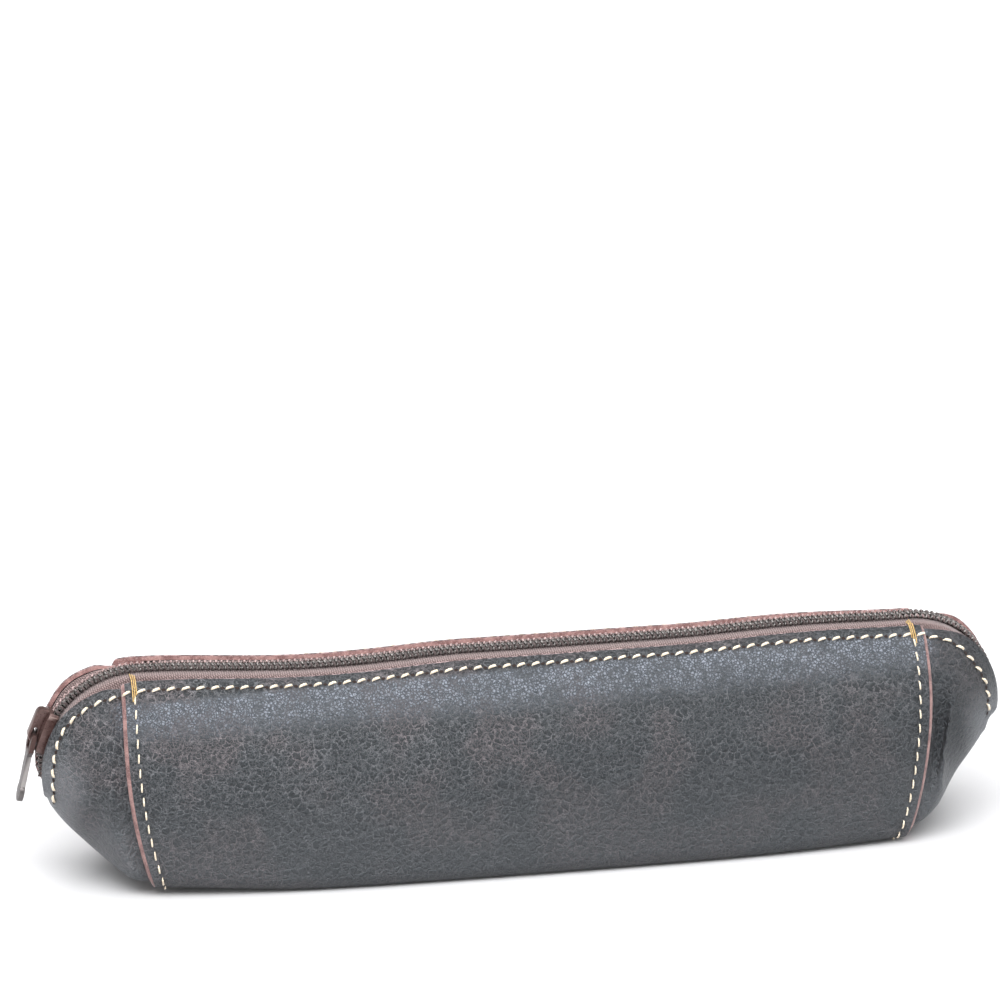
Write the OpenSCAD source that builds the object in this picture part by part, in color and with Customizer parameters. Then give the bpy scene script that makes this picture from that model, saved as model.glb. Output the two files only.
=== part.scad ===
// Zipped leather pen case: a body panel wraps the front, the base and the back,
// two end panels run under it at the seams, and a coil zip closes the top.
// +X runs to the right end, +Y to the back, +Z up; the origin is the middle of the base.

/* [Leather] */
// Thickness of the leather
leather_t = 1.2; // [0.9:0.1:1.5]
// Thickness of an end panel where it is pared down to go under the body panel
pared_t = 0.6; // [0.4:0.1:0.8]
// Length of end panel that lies under the body panel
seam_lap = 7; // [4:0.5:9]
// Length beyond the left seam over which the end panel swells out again
seam_swell_left = 4.5; // [3:0.5:12]
// Length beyond the right seam over which the end panel swells out again
seam_swell_right = 11; // [3:0.5:12]
// Gap between leathers, and between leather and tape, that are sewn flat together
sewn_gap = 0.05; // [0.03:0.01:0.1]

/* [Case] */
// Length of the base between the lower ends of the two seams
base_l = 173.4; // [160:0.2:190]
// Width of the base at mid length
base_w = 42.4; // [38:0.2:46]
// Width of the base at the left seam
seam_w_left = 32.8; // [30:0.2:36]
// Width of the base at the right seam
seam_w_right = 35.4; // [32:0.2:38]
// Length at mid case over which the base lies flat on the table
flat_l = 96; // [60:2:120]
// Height of the base above the table at the left seam
seam_rise_left = 1.6; // [0:0.1:3]
// Height of the base above the table at the right seam
seam_rise_right = 0.6; // [0:0.1:3]
// Radius of the fold between the base and a side
fold_r = 4; // [3:0.5:8]
// Distance along the zip from mid case to the top of each seam
seam_top = 92; // [88:0.2:93]
// Slope of the leather beside the zip
edge_slope = 23; // [10:1:30]
// Outward swing of the seams halfway up
seam_swing = 2.9; // [0:0.1:4]
// Length past each seam over which the underside of an end starts to turn up
toe_run = 12; // [8:0.5:13]
// Rise of the left end's underside over that length
toe_rise_left = 5; // [3:0.25:7]
// Rise of the right end's underside over that length
toe_rise_right = 6.5; // [3:0.25:7]
// Length below the left notch over which the end stands steep
nose_drop_left = 5; // [4:0.5:9]
// Length below the right notch over which the end stands steep
nose_drop_right = 7; // [4:0.5:9]
// Distance that the left end leans in over that length
nose_lean_left = 2.75; // [1:0.25:5]
// Distance that the right end leans in over that length
nose_lean_right = 4.75; // [1:0.25:5]
// Half width of the leather at the very notch
nose_half_w = 0.9; // [0.8:0.1:1.5]
// Roundness of the ends seen from above: 1 is pointed, 2 is a half circle
end_round = 1.5; // [1.4:0.05:2]

/* [Zip] */
// Height of the middle of the coil above the table, where the corner arcs start
zip_height = 49.4; // [44:0.1:56]
// Sag of the zip at mid case
zip_sag = 0.9; // [0:0.1:2]
// Depth of the dip that handling has left in the zip's left half
zip_dip = 1.4; // [0:0.1:2]
// Height of the swelling that it has left in the right half
zip_crest = 0.7; // [0:0.1:2]
// Run of the zip from mid case to the left corner arc
zip_run_left = 87.2; // [84:0.2:91]
// Run of the zip from mid case to the right corner arc
zip_run_right = 89.8; // [84:0.2:91]
// Radius of the left corner arc
corner_r_left = 22.3; // [19:0.1:23]
// Radius of the right corner arc
corner_r_right = 20; // [19:0.1:23]
// Angle that each corner arc turns through, down to the notch
corner_sweep = 107; // [104:1:116]
// Last part of that angle, in which the leather edges come together
notch_sweep = 12; // [10:1:14]
// Width between the leather edges
opening_w = 10.6; // [10.2:0.1:12]
// Height of the front leather edge against the middle of the coil, at the left seam
front_edge_left = -1.1; // [-1.2:0.05:0.2]
// The same at mid case
front_edge_middle = -0.45; // [-1.2:0.05:0.2]
// The same at the right seam
front_edge_right = -0.5; // [-1.2:0.05:0.2]
// The same at the left notch
front_edge_nose_left = 0.4; // [-0.6:0.05:0.6]
// The same at the right notch
front_edge_nose_right = -0.45; // [-0.6:0.05:0.6]
// Height of the back leather edge against the middle of the coil, at the left seam
back_edge_left = 0.7; // [-0.8:0.05:0.8]
// The same at mid case
back_edge_middle = 0.35; // [-0.8:0.05:0.8]
// The same at the right seam
back_edge_right = -0.6; // [-0.8:0.05:0.8]
// The same at both notches
back_edge_nose = -0.4; // [-0.8:0.05:0.8]
// Further rise of the back edge halfway round the left corner
back_edge_hump = 1.3; // [0:0.1:1.5]
// Distance between neighbouring turns of one coil
coil_pitch = 1.27; // [1.2:0.01:1.5]
// Width of the closed chain
chain_w = 4; // [3.8:0.05:4.2]
// Height of a coil
coil_h = 1.2; // [1:0.05:1.4]
// Thickness of one turn
turn_t = 0.56; // [0.45:0.01:0.56]
// Gap under a coil, so that the tape clears it where the chain bends inward
coil_gap = 0.07; // [0.07:0.01:0.1]
// Reach of each turn past the middle of the chain, into the other coil
mesh_depth = 0.4; // [0.3:0.05:0.5]
// Thickness of the tape
tape_t = 0.55; // [0.4:0.05:0.6]
// Gap between the two tapes, under the chain
tape_slit = 2.2; // [1.8:0.1:2.3]
// Half width of the flat strip of tape that the slider runs along
tape_flat = 4.05; // [4:0.05:4.2]

/* [Slider] */
// Angle of the slider on the left arc, from the top of the arc
slider_angle = 67; // [55:0.5:72]
// Length of the slider
slider_l = 9.6; // [9:0.1:10]
// Width of the slider at its mouth
slider_w = 7.8; // [7.6:0.1:7.8]
// Width of the slider at its tail
slider_tail_w = 5.8; // [5.6:0.1:6]
// Thickness of the outer and inner plates
plate_t = 0.85; // [0.7:0.05:1]
// Running clearance between the slider and the chain or tape
slide_gap = 0.3; // [0.25:0.01:0.35]
// Distance that each coil is led aside of the middle at the slider's mouth
coil_split = 1.3; // [1.25:0.05:1.35]
// Width of the post that joins the two plates
post_w = 1.5; // [1.2:0.1:1.6]
// Width of the cap over the slider
cap_w = 2.4; // [2:0.1:2.6]
// Height of the cap over the outer plate
cap_h = 2.15; // [2:0.05:2.4]

/* [Pull tab] */
// Length of the pull tab from its bar to its free end
tab_l = 14.6; // [12:0.2:18]
// Thickness of the pull tab
tab_t = 1.1; // [0.9:0.05:1.2]
// Angle that the hanging tab leans in from the slider's plate
tab_lean = 10; // [0:1:10]
// Width of the tab's ring head
tab_head_w = 6; // [5.2:0.1:6.5]
// Width of the tab's stem
tab_stem_w = 3; // [2.4:0.1:3.6]
// Width of the tab's flared end
tab_end_w = 4.4; // [4:0.1:5]
// Radius of the bar that the tab turns on
bar_r = 0.5; // [0.4:0.05:0.55]
// Radial clearance of the bar in the cap
bar_gap = 0.1; // [0.05:0.01:0.1]
// Distance from the bar to the far side of the ring's window
window_l = 3.6; // [3.4:0.1:4]

/* [Hidden] */

leather_colour = "#45454a";
tape_colour = "#7a5a56";
coil_colour = "#4a3c38";
slider_colour = "#4f4240";
tab_colour = "#8b8682";

// what differs between the two sides is a function of a number below 0 for the left
function sided(m, left, right) = m < 0 ? left : right;
function half_run(m) = sided(m, zip_run_left, zip_run_right);
function corner_r(m) = sided(m, corner_r_left, corner_r_right);
function zip_half(m) = half_run(m) + corner_r(m) * corner_sweep * PI / 180;
function open_half(m) = half_run(m) + corner_r(m) * (corner_sweep - notch_sweep) * PI / 180;
edge_y = opening_w / 2;
// least half gap that stays between the leather edges at a notch
shut_y = 0.15;
// ribs are numbered 0 at mid case, 1 at a seam and 2 at a notch, negative to the left
lap_m = seam_lap / seam_top;
function swell_m(m) = sided(m, seam_swell_left, seam_swell_right) / (zip_half(m) - seam_top);
function open_m(m) = 1 + (open_half(m) - seam_top) / (zip_half(m) - seam_top);

// steps of a rib: down one side, round the fold, and over half of the base
side_steps = 8;
fold_steps = 3;
base_steps = 2;
half_steps = side_steps + fold_steps + base_steps;
rib_last = 2 * half_steps;

function mix(a, b, t) = a + (b - a) * t;
function clip(t) = min(1, max(0, t));
function ease(t) = clip(t) * clip(t) * (3 - 2 * clip(t));
function unit(v) = v / norm(v);
function bezier(a, b, c, d, t) =
  pow(1 - t, 3) * a + 3 * pow(1 - t, 2) * t * b + 3 * (1 - t) * t * t * c + t * t * t * d;

// the zip's line: place and outward direction at a distance along it, in the XZ plane
function arc_angle(u) = max(0, abs(u) - half_run(u)) / corner_r(u) * 180 / PI;
// a smooth bump of height 1 that dies out at a distance from its middle
function bump(u, middle, reach) = pow(max(0, 1 - pow((u - middle) / reach, 2)), 2);
dip_u = -48;
dip_reach = 36;
crest_u = 63;
crest_reach = 27;
function zip_sink(u) =
  zip_sag * max(0, 1 - pow(u / half_run(u), 2))
  + zip_dip * bump(u, dip_u, dip_reach) - zip_crest * bump(u, crest_u, crest_reach);
function zip_at(u) =
  let (a = arc_angle(u), run = min(abs(u), half_run(u)))
  [sign(u) * (run + corner_r(u) * sin(a)), zip_height - zip_sink(u) - corner_r(u) * (1 - cos(a))];
function zip_out(u) = [sign(u) * sin(arc_angle(u)), cos(arc_angle(u))];

// distance along the zip at a rib
function rib_u(m) =
  sign(m) * (abs(m) <= 1 ? abs(m) * seam_top : mix(seam_top, zip_half(m), abs(m) - 1));
// half of the opening at a rib: the leather edges close in an oval at the notch
function rib_edge(m) =
  let (c = clip((abs(rib_u(m)) - open_half(m)) / (zip_half(m) - open_half(m))))
  max(shut_y, edge_y * sqrt(1 - c * c));
// height of a leather edge at a rib: from mid case to a seam, then to a notch
function edge_height(m, front) =
  let (q = clip(abs(m) - 1),
       middle = front ? front_edge_middle : back_edge_middle,
       seam = front ? sided(m, front_edge_left, front_edge_right)
                    : sided(m, back_edge_left, back_edge_right),
       nose = front ? sided(m, front_edge_nose_left, front_edge_nose_right) : back_edge_nose,
       hump = front ? 0 : sided(m, back_edge_hump * pow(sin(180 * clip(q / 0.7)), 2), 0))
  mix(mix(middle, seam, pow(min(1, abs(m)), 2)), nose, ease((q - (front ? 0 : 0.2)) / 0.5)) + hump;
// half of the case's width at a rib
function rib_width(m) =
  let (q = clip(abs(m) - 1), k = min(1, abs(m)), seam_w = sided(m, seam_w_left, seam_w_right))
  mix(base_w / 2, seam_w / 2, pow(k, 3)) * sqrt(max(0, 1 - pow(q, end_round))) + nose_half_w * q;

// the lower end of the last rib lies this far in and down from the notch
notch_seat = [0.5, 1.1];

// the top and bottom ends of a rib, as distances from mid case and heights
function outward(p) = [abs(p[0]), p[1]];
function rib_top(m, height) = outward(zip_at(rib_u(m))) + height * outward(zip_out(rib_u(m)));
function seam_rise(m) = sided(m, seam_rise_left, seam_rise_right);
function base_rise(m) =
  seam_rise(m) * ease((abs(m) * base_l - flat_l) / (base_l - flat_l));
function rib_foot(m) =
  let (base_end = [base_l / 2, seam_rise(m)],
       notch = outward(zip_at(sided(m, -1, 1) * zip_half(m))),
       toe = [toe_run, sided(m, toe_rise_left, toe_rise_right)],
       nose = [sided(m, nose_lean_left, nose_lean_right), sided(m, nose_drop_left, nose_drop_right)])
  abs(m) <= 1
    ? [abs(m) * base_l / 2, base_rise(m)]
    : bezier(base_end, base_end + toe, notch - nose, notch - notch_seat, abs(m) - 1);
// slope of the lower outline at a rib of an end panel
function foot_angle(m) =
  let (s = sided(m, -1, 1),
       d = rib_foot(s * min(2, abs(m) + 0.02)) - rib_foot(s * max(1, abs(m) - 0.02)))
  atan2(d[1], d[0]);

// a rib's line in side view, from the zip down to the base: reach of its two end directions
spine_reach = 0.36;
function rib_spine(m, height, t) =
  let (top = rib_top(m, height), foot = rib_foot(m), l = norm(foot - top),
       q = clip(abs(m) - 1), swing = atan(seam_swing / l) * min(1, abs(m)),
       lean_top = mix(swing, -arc_angle(rib_u(m)), ease(q / 0.5)),
       lean_foot = mix(5 * swing, -foot_angle(m), ease(q / 0.6)),
       from_top = spine_reach * l * [sin(lean_top), -cos(lean_top)],
       from_foot = spine_reach * l * [sin(lean_foot), cos(lean_foot)])
  bezier(top, top + from_top, foot + from_foot, foot, t);

// a rib's outline: [share of the way down, half width] for each step of one half;
// the side swells out over its first part, and the fold grows round towards a notch
shoulder = 0.7;
belly = 0.42;
round_fold = 0.45;
function rib_outline(m, height, j) =
  let (l = norm(rib_foot(m) - rib_top(m, height)), w = rib_width(m), e = rib_edge(m),
       q = clip(abs(m) - 1),
       drop = min(0.25, shoulder * (w - e) * tan(edge_slope) / l),
       fold_a = mix(min(round_fold, fold_r / l), round_fold, ease(q / 0.6)),
       fold_y = mix(min(fold_r, 0.8 * w), 0.8 * w, ease(q / 0.6)))
  j <= side_steps
    ? bezier([0, e], [drop, mix(e, w, shoulder)], [belly, 1.02 * w], [1 - fold_a, w], j / side_steps)
    : j <= side_steps + fold_steps
      ? let (a = 90 * (j - side_steps) / fold_steps)
        [1 - fold_a + fold_a * sin(a), w - fold_y + fold_y * cos(a)]
      : [1, (w - fold_y) * (half_steps - j) / base_steps];

// a point of the case's outer surface: rib m, step j from the front edge to the back edge
function skin(m, j) =
  let (front = j <= half_steps, height = edge_height(m, front),
       o = rib_outline(m, height, front ? j : rib_last - j), p = rib_spine(m, height, o[0]))
  [sided(m, -1, 1) * p[0], (front ? -1 : 1) * o[1], p[1]];
function skin_out(m, j) =
  let (dm = skin(min(2, m + 0.01), j) - skin(max(-2, m - 0.01), j),
       dj = skin(m, min(rib_last, j + 1)) - skin(m, max(0, j - 1)))
  unit(cross(dj, dm));
function skin_in(m, j, depth) = skin(m, j) - depth * skin_out(m, j);

// depth of an end panel's face below the outer surface, and its thickness, at a rib
function end_depth(m) = (leather_t + sewn_gap) * (1 - ease((abs(m) - 1) / swell_m(m)));
function end_t(m) = mix(pared_t, leather_t, ease((abs(m) - 1) / swell_m(m)));

// a solid between two grids of points with the same number of ribs and steps
module shell(outer, inner) {
  rows = len(outer);
  cols = len(outer[0]);
  count = rows * cols;
  flat_points = [for (g = [outer, inner]) for (row = g) for (p = row) p];
  skin_faces = [for (i = [0:rows - 2]) for (j = [0:cols - 2])
    let (a = i * cols + j, b = a + cols) each [[a, b, b + 1], [a, b + 1, a + 1]]];
  lining_faces = [for (f = skin_faces) [f[2] + count, f[1] + count, f[0] + count]];
  rim = concat(
    [for (j = [0:cols - 2]) j],
    [for (i = [0:rows - 2]) i * cols + cols - 1],
    [for (j = [cols - 1:-1:1]) (rows - 1) * cols + j],
    [for (i = [rows - 1:-1:1]) i * cols]);
  rim_faces = [for (k = [0:len(rim) - 1])
    let (a = rim[k], b = rim[(k + 1) % len(rim)])
    each [[a, b, b + count], [a, b + count, a + count]]];
  polyhedron(flat_points, concat(skin_faces, lining_faces, rim_faces));
}

// ribs of each half, from the lap outwards; the body panel and the tapes share them
lap_ribs = [1 - lap_m, 1 - lap_m / 2, 1];
dip_rib = 1 - 1.6 * lap_m;
inner_count = 9;
inner_ribs = [for (i = [1:inner_count]) dip_rib * i / inner_count];
function swell_ribs(s) = [1 + swell_m(s) / 2, 1 + swell_m(s)];
function arc_ribs(s) = [for (i = [1:7]) mix(1 + swell_m(s), open_m(s), i / 7)];
function notch_ribs(s) = [for (t = [0.4, 0.75, 1]) mix(open_m(s), 2, t)];
function body_ribs() = concat([0], inner_ribs, lap_ribs);
function end_ribs(s) = concat(lap_ribs, swell_ribs(s), arc_ribs(s), notch_ribs(s));
function tape_ribs(s) = concat(body_ribs(), swell_ribs(s), arc_ribs(s));

// ribs of the left half, which are negated, and then of the right half
function reversed(ribs) = [for (i = [len(ribs) - 1:-1:0]) -ribs[i]];
function both_ways(left, right) =
  concat([for (m = reversed(left)) if (m < 0) m], right);

module body_panel() {
  ribs = both_ways(body_ribs(), body_ribs());
  color(leather_colour)
    shell(
      [for (m = ribs) [for (j = [0:rib_last]) skin(m, j)]],
      [for (m = ribs) [for (j = [0:rib_last]) skin_in(m, j, leather_t)]]);
}

// the inside stops short of the notch, so that the leather is whole there
function inner_rib(m) = abs(m) <= 1 ? m : sign(m) * mix(1, open_m(m), abs(m) - 1);

module end_panel(side) {
  ribs = side > 0 ? end_ribs(1) : reversed(end_ribs(-1));
  color(leather_colour)
    shell(
      [for (m = ribs) [for (j = [0:rib_last]) skin_in(m, j, end_depth(m))]],
      [for (m = ribs) let (n = inner_rib(m))
        [for (j = [0:rib_last]) skin_in(n, j, end_depth(n) + end_t(n))]]);
}

module end_panel_left() end_panel(-1);
module end_panel_right() end_panel(1);

// depth of a tape's face below the outer surface, under one leather or two
function tape_depth(m) =
  sewn_gap + (abs(m) <= dip_rib
    ? leather_t
    : abs(m) < 1 - lap_m
      ? mix(leather_t, end_depth(1) + pared_t, (abs(m) - dip_rib) / (1 - lap_m - dip_rib))
      : end_depth(m) + end_t(m));
tape_top = -coil_h / 2 - coil_gap;

// a point beside the zip's line: distance across it, and height over it
function beside(m, y, n) =
  let (u = rib_u(m), p = zip_at(u) + n * zip_out(u))
  [p[0], y, p[1]];

// one tape: a flat strip beside the chain, then the margin sewn under the leather
module tape(side) {
  ribs = both_ways(tape_ribs(-1), tape_ribs(1));
  edge_j = side < 0 ? 0 : rib_last;
  color(tape_colour)
    shell(
      [for (m = ribs)
        let (row = [
          beside(m, side * tape_slit / 2, tape_top),
          beside(m, side * tape_flat, tape_top),
          skin_in(m, edge_j, tape_depth(m)),
          skin_in(m, edge_j - side, tape_depth(m))])
        side < 0 ? row : [for (k = [3:-1:0]) row[k]]],
      [for (m = ribs)
        let (row = [
          beside(m, side * tape_slit / 2, tape_top - tape_t),
          beside(m, side * tape_flat, tape_top - tape_t),
          skin_in(m, edge_j, tape_depth(m) + tape_t),
          skin_in(m, edge_j - side, tape_depth(m) + tape_t)])
        side < 0 ? row : [for (k = [3:-1:0]) row[k]]]);
}

module zip_tape_front() tape(-1);
module zip_tape_back() tape(1);

// one turn of a coil, seen along the zip: a rounded loop from its heel to its head
module turn(side) {
  heel = chain_w / 2;
  top = coil_h / 2;
  rotate([90, 0, 90])
    translate([0, 0, -turn_t / 2])
      linear_extrude(turn_t)
        polygon([
          [side * heel, -0.5 * top], [side * (heel - 0.4), -top],
          [side * (0.4 - mesh_depth), -top], [-side * mesh_depth, -0.4 * top],
          [-side * mesh_depth, 0.4 * top], [side * (0.4 - mesh_depth), top],
          [side * (heel - 0.4), top], [side * heel, 0.5 * top]]);
}

// how far the coils stand apart where the slider leads them round its post
slider_u = -(zip_run_left + corner_r_left * slider_angle * PI / 180);
part_from = 2.3;
function coil_apart(u) =
  let (past = slider_u - u, end = slider_l / 2)
  coil_split * ease((past + part_from) / (part_from + post_from))
    * (1 - 0.4 * ease((past - end) / end));

// the coils run between the ends of the opening, short of them by a margin
coil_margin = 0.6;
turn_count = floor((open_half(-1) + open_half(1) - 2 * coil_margin) / coil_pitch);
coil_middle = (open_half(1) - open_half(-1)) / 2;

module coil(side) {
  shift = side < 0 ? 0 : 0.5;
  color(coil_colour)
    for (i = [0:turn_count - 1])
      let (u = coil_middle + (i + shift - turn_count / 2) * coil_pitch, p = zip_at(u))
        translate([p[0], side * coil_apart(u), p[1]])
          rotate([0, sign(u) * arc_angle(u), 0])
            turn(side);
}

module zip_coil_front() coil(-1);
module zip_coil_back() coil(1);

// the slider is drawn at the top of an arc whose centre lies one radius below its origin,
// with its tail to +X, and is then turned to its place on the left arc
outer_n = coil_h / 2 + slide_gap;
slot_low = tape_top - tape_t - slide_gap;
slot_high = tape_top + slide_gap;
plate_top = outer_n + plate_t;
plate_bottom = slot_low - plate_t;

module on_left_arc()
  translate([-zip_run_left, 0, zip_height - corner_r_left])
    rotate([0, -slider_angle, 0])
      translate([0, 0, corner_r_left])
        children();

// a ring round the arc's centre, between two heights over the zip's line
module ring(low, high, width)
  translate([0, 0, -corner_r_left])
    rotate([90, 0, 0])
      rotate_extrude($fn = 120)
        translate([corner_r_left + low, -width / 2])
          square([high - low, width]);

module upright(low, high)
  translate([0, 0, low])
    linear_extrude(high - low)
      children();

function mirrored(points) =
  concat(points, [for (i = [len(points) - 1:-1:0]) [points[i][0], -points[i][1]]]);

// plan of the slider: narrow from its tail to the shoulders, then wide to its mouth
shoulder_from = 3.2;
shoulder_to = 0.3;
corner_cut = 0.6;

module slider_outline() {
  end = slider_l / 2;
  wide = slider_w / 2;
  tail = slider_tail_w / 2;
  polygon(mirrored([
    [end, tail - corner_cut], [end - corner_cut, tail],
    [shoulder_from, tail], [shoulder_to, wide],
    [1.5 * corner_cut - end, wide], [corner_cut / 2 - end, wide - corner_cut / 2],
    [-end, wide - 1.5 * corner_cut]]));
}

module channel_outline() {
  closed = chain_w / 2 + slide_gap;
  parted = chain_w / 2 + coil_split + slide_gap / 3;
  polygon(mirrored([
    [slider_l, closed], [shoulder_from, closed],
    [shoulder_to, parted], [-slider_l, parted]]));
}

// the post that joins the plates is pointed where the two coils part
post_from = 0.8;
module post_outline() {
  half = post_w / 2;
  end = slider_l / 2;
  polygon(mirrored([
    [-post_from, half / 3], [-2.2, half], [corner_cut - end, half], [-end, 0.6 * half]]));
}

// cutting shapes reach this far past what they cut
cut_over = 1;
arc_sink = 1;
module slider_body()
  color(slider_colour)
    on_left_arc()
      difference() {
        intersection() {
          ring(plate_bottom, plate_top, slider_w + cut_over);
          upright(plate_bottom - arc_sink, plate_top + cut_over)
            slider_outline();
        }
        difference() {
          ring(slot_low, outer_n, slider_w + 2 * cut_over);
          upright(plate_bottom - 2 * arc_sink, plate_top + cut_over)
            post_outline();
          difference() {
            ring(slot_high, outer_n + cut_over, slider_w + 3 * cut_over);
            upright(plate_bottom - 2 * arc_sink, plate_top + 2 * cut_over)
              channel_outline();
          }
        }
      }

// the bar of the pull tab lies at the front end of a slot in the cap
bar_t = -1.6;
tab_lift = 0.4;
bar_n = plate_top + tab_lift + tab_t / 2;
bar_slot_r = bar_r + bar_gap;
bar_slot_l = 1.2;
// wall of the cap in front of the slot, and clearance of the tab's ring beside the cap
cap_wall = 1;
ring_gap = 0.25;

module side_profile(width)
  translate([0, width / 2, 0])
    rotate([90, 0, 0])
      linear_extrude(width)
        children();

module slider_cap() {
  low = plate_top - 1;
  high = plate_top + cap_h;
  tail = slider_l / 2 - 0.1;
  nose = bar_t - bar_slot_r - cap_wall;
  color(slider_colour)
    on_left_arc()
      difference() {
        side_profile(cap_w)
          difference() {
            polygon([
              [nose, low], [nose + 0.1, high - 0.8], [nose + 0.6, high - 0.25],
              [nose + 1.3, high], [tail - 1.1, high], [tail - 0.4, high - 0.35],
              [tail, high - 1], [tail, low]]);
            translate([bar_t, bar_n])
              circle(r = bar_slot_r, $fn = 40);
            translate([bar_t + bar_slot_l, bar_n])
              circle(r = bar_slot_r, $fn = 40);
            translate([bar_t, bar_n - bar_slot_r])
              square([bar_slot_l, 2 * bar_slot_r]);
          }
        ring(-corner_r_left / 2, plate_top + 0.02, cap_w + 2 * cut_over);
      }
}

neck_l = 1.6;
module tab_outline() {
  head = tab_head_w / 2;
  stem = tab_stem_w / 2;
  tip = tab_end_w / 2;
  window_w = cap_w / 2 + ring_gap;
  difference() {
    union() {
      polygon(mirrored([
        [0, head], [-window_l, head], [-window_l - neck_l, stem],
        [tip + neck_l - tab_l, stem], [tip - tab_l, tip]]));
      translate([tip - tab_l, 0])
        circle(r = tip, $fn = 60);
    }
    translate([-window_l, -window_w])
      square([window_l + 1, 2 * window_w]);
  }
}

module pull_tab()
  color(tab_colour)
    on_left_arc()
      translate([bar_t, 0, bar_n]) rotate([0, -tab_lean, 0]) {
        translate([0, 0, -tab_t / 2])
          linear_extrude(tab_t)
            tab_outline();
        rotate([90, 0, 0])
          translate([0, 0, -tab_head_w / 2])
            cylinder(r = bar_r, h = tab_head_w, $fn = 40);
        for (side = [-1, 1])
          translate([0, side * (tab_head_w + cap_w + 2 * ring_gap) / 4, 0])
            rotate([90, 0, 0])
              cylinder(
                r = tab_t / 2, h = (tab_head_w - cap_w) / 2 - ring_gap, center = true, $fn = 40);
      }

body_panel();
end_panel_left();
end_panel_right();
zip_tape_front();
zip_tape_back();
zip_coil_front();
zip_coil_back();
slider_body();
slider_cap();
pull_tab();
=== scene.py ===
# %% [markdown]
# # A zipped leather pen case
# The real case is a soft pouch of brown-black crackled leather. One panel wraps the
# front, the base and the back, two end panels tuck under it, and a coil zip runs over
# the top and round both upper corners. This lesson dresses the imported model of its
# solids: smooth leather with cut edges, a woven tape, coils of bent filament, sewn
# thread, and worn metal. Sizes are in millimetres until a mesh is made.

import math

import bmesh
import bpy
import numpy as np
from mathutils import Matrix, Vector


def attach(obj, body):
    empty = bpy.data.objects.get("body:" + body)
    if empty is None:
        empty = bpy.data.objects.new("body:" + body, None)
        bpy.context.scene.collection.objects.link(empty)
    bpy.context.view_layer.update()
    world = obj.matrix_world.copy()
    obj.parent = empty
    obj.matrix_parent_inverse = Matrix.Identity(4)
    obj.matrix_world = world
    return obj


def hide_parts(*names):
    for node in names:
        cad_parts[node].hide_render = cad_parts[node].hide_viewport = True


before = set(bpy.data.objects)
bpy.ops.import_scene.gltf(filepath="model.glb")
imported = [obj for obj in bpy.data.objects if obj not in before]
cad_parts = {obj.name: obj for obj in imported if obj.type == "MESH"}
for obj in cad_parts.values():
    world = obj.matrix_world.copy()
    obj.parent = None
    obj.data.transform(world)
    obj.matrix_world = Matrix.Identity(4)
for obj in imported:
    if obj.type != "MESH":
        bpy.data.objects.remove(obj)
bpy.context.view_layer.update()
scene = bpy.context.scene
scene.view_settings.view_transform = "Standard"

# %% [markdown]
# ## The camera
# The photograph was taken from about 1.4 m away, a little left of the case and 22
# degrees above it, with a long lens. That is why the lines along the case hardly draw
# together. The camera has no roll, and it looks slightly above the case, which leaves
# the empty upper half of the picture.


# %% Camera
def new_object(name, data):
    """An object in the scene."""
    thing = bpy.data.objects.new(name, data)
    scene.collection.objects.link(thing)
    return thing


camera = new_object("camera", bpy.data.cameras.new("camera"))
camera.data.sensor_width = 36
camera.data.lens = 216.4
looks_down, looks_right = math.radians(19.904), math.radians(10.843)
camera.data.clip_start, camera.data.clip_end = 0.05, 20
camera.location = (-0.2422, -1.2389, 0.5401)
camera.rotation_euler = (math.pi / 2 - looks_down, 0, -looks_right)
scene.camera = camera
print("camera stands", round(camera.location.length, 3), "m from the base's middle")

# %% [markdown]
# ## Nodes in one line
# A finish on a real thing is several layers at once: a colour, a grain, a shine. In
# Blender each is a small chain of nodes. This helper adds one node and fills its
# sockets by name, so that a material reads as a list of its layers.


# %% A helper that adds a node
def feed(tree, node, **sockets):
    """Fills inputs by name, or by number after a _, with values or with other outputs."""
    for name, value in sockets.items():
        socket = node.inputs[int(name[1:]) if name[0] == "_" else name.replace("_", " ")]
        if isinstance(value, bpy.types.NodeSocket):
            tree.links.new(value, socket)
        else:
            socket.default_value = value
    return node


def add(tree, kind, settings=None, **sockets):
    """One new shader node: settings are its own fields, sockets its inputs."""
    node = tree.nodes.new("ShaderNode" + kind)
    for name, value in (settings or {}).items():
        setattr(node, name, value)
    return feed(tree, node, **sockets)


def blank_material(name):
    """A material that holds only its output and a Principled shader."""
    material = bpy.data.materials.new(name)
    material.use_nodes = True
    tree = material.node_tree
    shader = tree.nodes["Principled BSDF"]
    return material, tree, shader


def blend_colours(tree, share, *colours):
    """A colour between two others, each of them red, green and blue or an output."""
    first, second = ((*c, 1) if isinstance(c, tuple) else c for c in colours)
    settings = {"data_type": "RGBA"}
    return add(tree, "Mix", settings, _0=share, _6=first, _7=second).outputs[2]


def ramp(tree, value, low, high, to_low=0.0, to_high=1.0):
    """Value from low to high, turned smoothly into to_low to to_high."""
    settings = {"interpolation_type": "SMOOTHSTEP"}
    limits = {"_1": low, "_2": high, "_3": to_low, "_4": to_high}
    return add(tree, "MapRange", settings, _0=value, **limits).outputs[0]


def maths(tree, operation, first, second=0.0):
    """One sum of two values."""
    return add(tree, "Math", {"operation": operation}, _0=first, _1=second).outputs[0]


def times(tree, value, *factors):
    """The product of several values."""
    for factor in factors:
        value = maths(tree, "MULTIPLY", value, factor)
    return value


def vector_maths(tree, operation, vector, **sockets):
    """One sum of a vector and another input."""
    settings = {"operation": operation}
    return add(tree, "VectorMath", settings, _0=vector, **sockets).outputs[0]


def noise(tree, place, scale, detail=2.0, roughness=0.5):
    """A soft random pattern of values round a half."""
    sockets = {"Scale": scale, "Detail": detail, "Roughness": roughness}
    return add(tree, "TexNoise", _0=place, **sockets).outputs[0]


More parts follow.
